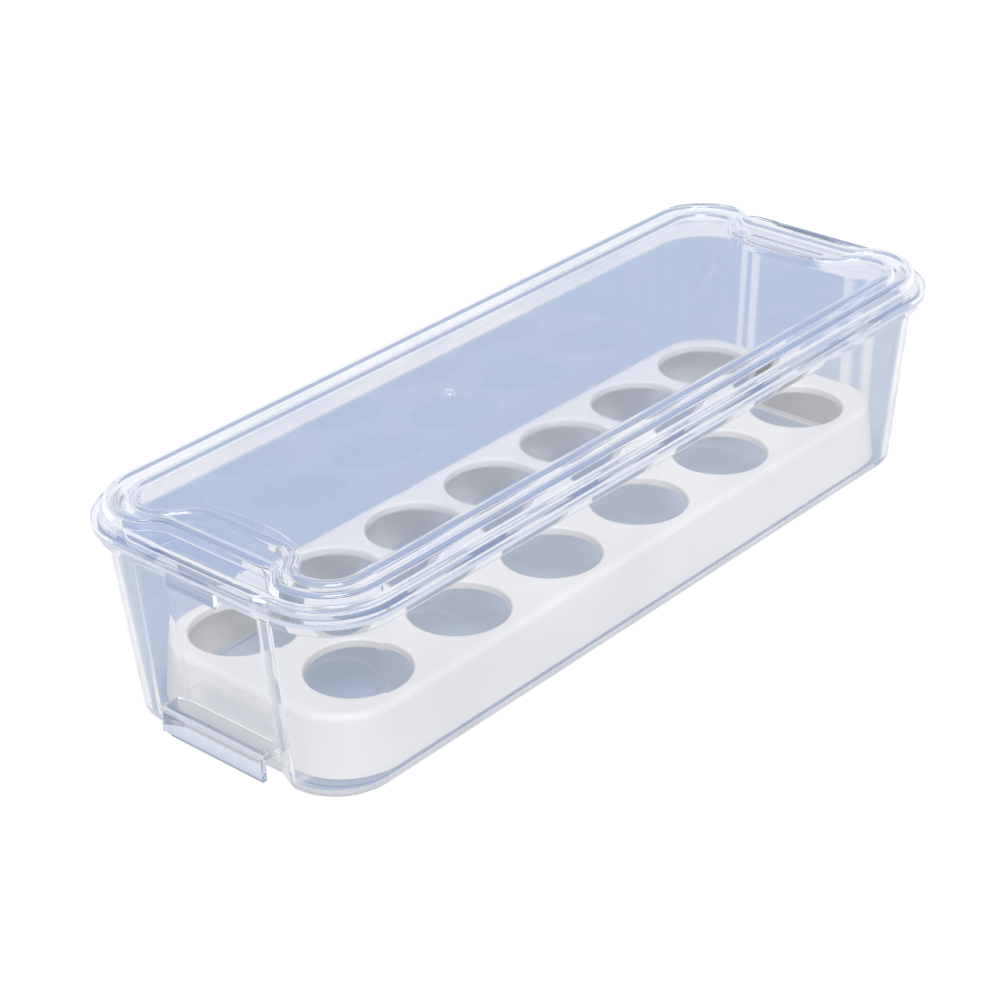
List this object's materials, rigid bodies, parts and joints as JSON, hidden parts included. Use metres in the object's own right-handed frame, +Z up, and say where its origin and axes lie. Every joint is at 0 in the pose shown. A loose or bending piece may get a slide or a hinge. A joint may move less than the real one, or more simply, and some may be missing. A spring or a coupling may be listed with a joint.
{
  "type": "egg holder",
  "caption": "Long clear lidded box with a pull lip on each end and a loose white tray with round holes that holds eggs upright in two rows.",
  "frame": {"origin": "middle of the footprint, on the surface the box stands on", "axes": "+X along the length, +Y across, +Z up"},
  "size_m": [0.32, 0.12, 0.076],
  "materials": {
    "clear_plastic": "clear, glossy, faint blue tint",
    "white_plastic": "opaque white, satin gloss"
  },
  "bodies": {
    "bin": {"bin": "clear_plastic"},
    "egg_tray": {"egg_tray": "white_plastic"},
    "lid": {"lid": "clear_plastic"}
  },
  "joints": [
    {"name": "tray_lift", "type": "slide", "parent": "bin", "child": "egg_tray", "axis": [0, 0, 1], "range_m": [0, 0.07]},
    {"name": "lid_lift", "type": "slide", "parent": "egg_tray", "child": "lid", "axis": [0, 0, 1], "range_m": [0, 0.1]}
  ]
}
